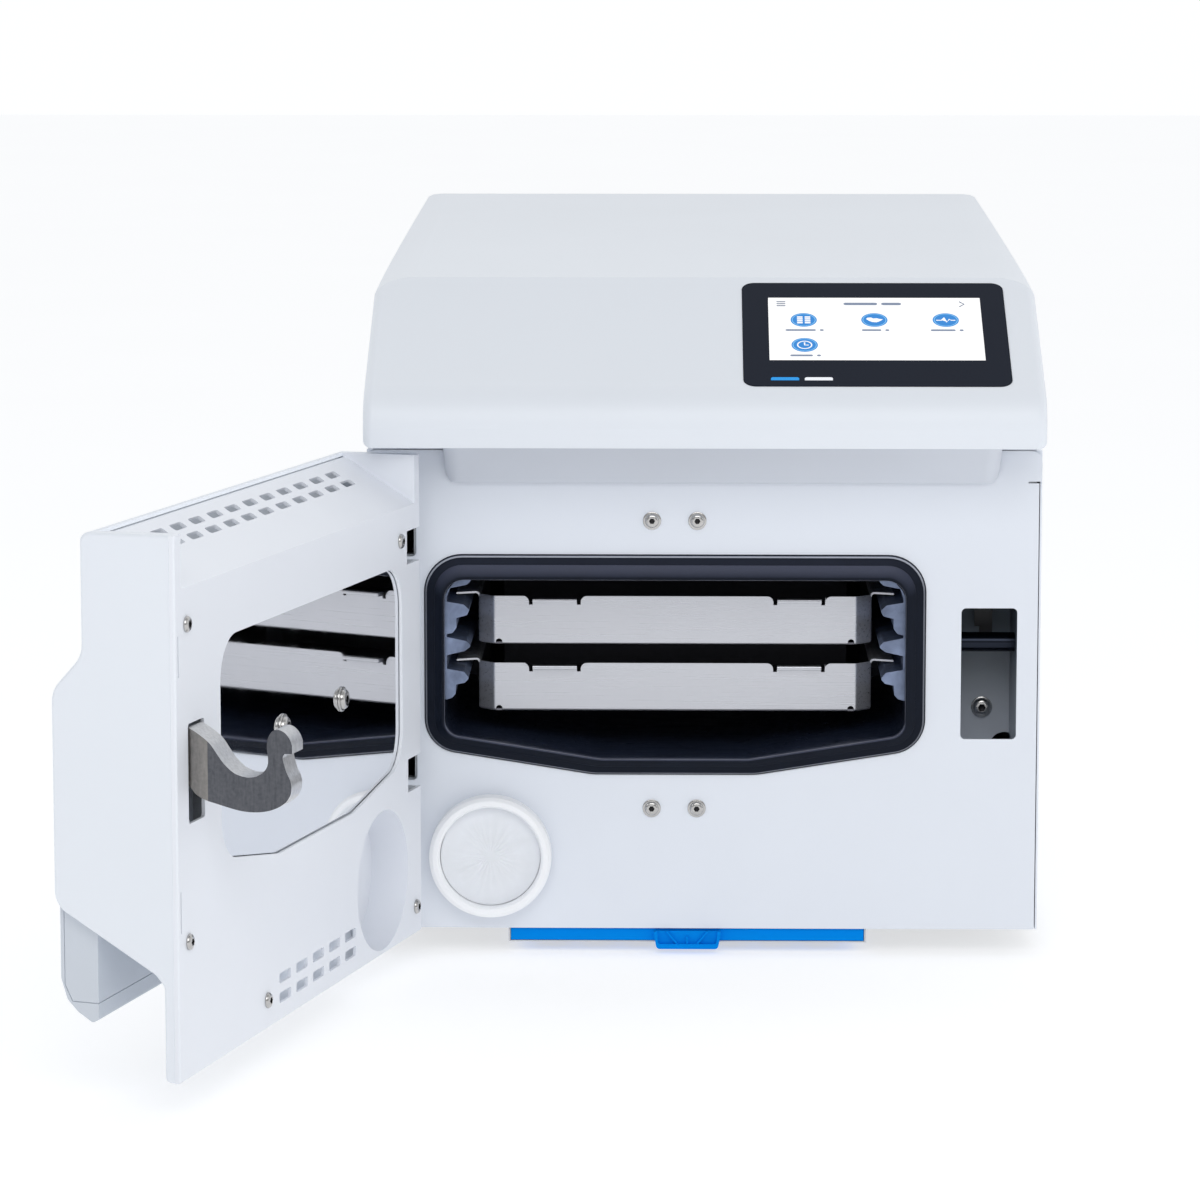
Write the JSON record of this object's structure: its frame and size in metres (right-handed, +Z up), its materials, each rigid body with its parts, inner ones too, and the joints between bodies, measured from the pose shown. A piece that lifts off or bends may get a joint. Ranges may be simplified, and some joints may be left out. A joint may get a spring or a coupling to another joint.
{
  "type": "benchtop steam autoclave",
  "caption": "Benchtop steam autoclave with a side-hung latched door standing open, steel chamber with sliding trays, sloped touch control hood and front filters.",
  "frame": {"origin": "centre of the footprint of the whole object with its door open, on the bench surface", "axes": "+Z up, +Y from the operator's side to the rear, +X to the operator's right"},
  "size_m": [0.572, 0.9963, 0.4559],
  "materials": {
    "board_green": "coated circuit board",
    "brass": "machined",
    "chamber_steel": "dark lined chamber",
    "copper_coil": "finned aluminium",
    "dark_plastic": "black plastic",
    "display_frame": "dark slate glass panel",
    "display_glass": "lit screen",
    "filter_blue": "blue plastic",
    "filter_white": "white plastic",
    "flange_dark": "dark coated flange",
    "foot_rubber": "rubber",
    "galvanised": "zinc plated sheet",
    "gasket": "silicone rubber",
    "hood_white": "satin off-white plastic",
    "insulation": "mineral fibre blanket",
    "light_blue": "lit blue lens",
    "light_white": "lit white lens",
    "mat_grey": "open foam",
    "membrane": "pleated filter paper",
    "mirror_steel": "polished stainless steel",
    "panel_white": "white powder coat",
    "pump_grey": "cast housing",
    "rack_metal": "satin",
    "screw_steel": "bright",
    "steel": "brushed",
    "tank_plastic": "natural plastic"
  },
  "bodies": {
    "body": {"base_pan": "galvanised", "front_panel": "panel_white", "front_frame": "galvanised", "side_cover_left": "panel_white", "side_cover_right": "panel_white", "rear_panel": "panel_white", "top_hood": "hood_white", "hood_chin": "hood_white", "display_bezel": "display_frame", "display_screen": "display_glass", "status_light_blue": "light_blue", "status_light_white": "light_white", "control_board": "board_green", "chamber": "chamber_steel", "chamber_insulation": "insulation", "flange_ring": "flange_dark", "door_gasket": "gasket", "rack_left": "rack_metal", "rack_right": "rack_metal", "panel_screws": "screw_steel", "hinge_brackets": "galvanised", "hinge_pins": "screw_steel", "lock_housing": "dark_plastic", "lock_rod": "steel", "lock_housing_screw": "screw_steel", "door_switch": "dark_plastic", "filter_socket": "filter_white", "filter_rails": "galvanised", "feet": "foot_rubber", "steam_generator": "steel", "vacuum_pump": "pump_grey", "valve_block": "brass", "condenser": "copper_coil", "fan_frame": "dark_plastic", "power_supply": "galvanised", "water_tank": "tank_plastic", "tank_shelf": "galvanised", "hose_fittings": "brass", "mains_inlet": "dark_plastic", "mains_switch_frame": "dark_plastic"},
    "door": {"door_inner_panel": "panel_white", "door_outer_cover": "hood_white", "door_grip": "hood_white", "door_plate": "mirror_steel", "door_core": "galvanised", "door_plate_bolts": "screw_steel", "door_screws": "screw_steel", "door_hinge_blocks": "galvanised", "latch_pivot": "screw_steel", "latch_spring": "screw_steel"},
    "latch": {"latch_hook": "steel"},
    "tray_upper_body": {"tray_upper": "steel"},
    "tray_lower_body": {"tray_lower": "steel"},
    "dust_filter": {"dust_filter_drawer": "filter_blue", "dust_filter_mat": "mat_grey"},
    "sterile_filter": {"sterile_filter_ring": "filter_white", "sterile_filter_membrane": "membrane"},
    "fan": {"fan_rotor": "dark_plastic"},
    "rocker": {"mains_rocker": "dark_plastic"},
    "switch_lever": {"door_switch_lever": "dark_plastic"}
  },
  "joints": [
    {"name": "door_hinge", "type": "hinge", "parent": "body", "child": "door", "pos_m": [-0.1349, -0.08552, 0.196], "axis": [0, 0, 1], "range_deg": [0, 105]},
    {"name": "latch_pivot_joint", "type": "hinge", "parent": "door", "child": "latch", "pos_m": [-0.22142, -0.46558, 0.201], "axis": [0.2588, 0.9659, 0], "range_deg": [0, 28], "stiffness_Nm_per_rad": 0.5, "springref_deg": -34.38},
    {"name": "tray_upper_slide", "type": "slide", "parent": "body", "child": "tray_upper_body", "axis": [0, 1, 0], "range_m": [-0.145, 0]},
    {"name": "tray_lower_slide", "type": "slide", "parent": "body", "child": "tray_lower_body", "axis": [0, 1, 0], "range_m": [-0.145, 0]},
    {"name": "dust_filter_slide", "type": "slide", "parent": "body", "child": "dust_filter", "axis": [0, 1, 0], "range_m": [-0.19, 0]},
    {"name": "sterile_filter_twist", "type": "hinge", "parent": "body", "child": "sterile_filter", "pos_m": [-0.0628, -0.05372, 0.0644], "axis": [0, 1, 0], "range_deg": [-90, 0]},
    {"name": "fan_spin", "type": "hinge", "parent": "body", "child": "fan", "pos_m": [0.1927, 0.48378, 0.19], "axis": [0, 1, 0], "continuous": true},
    {"name": "mains_rocker_tilt", "type": "hinge", "parent": "body", "child": "rocker", "pos_m": [-0.0573, 0.49228, 0.053], "axis": [1, 0, 0], "range_deg": [0, 20]},
    {"name": "switch_lever_pivot", "type": "hinge", "parent": "body", "child": "switch_lever", "pos_m": [0.2537, 0.00508, 0.224], "axis": [1, 0, 0], "range_deg": [0, 8], "stiffness_Nm_per_rad": 0.01, "springref_deg": -8.59}
  ]
}
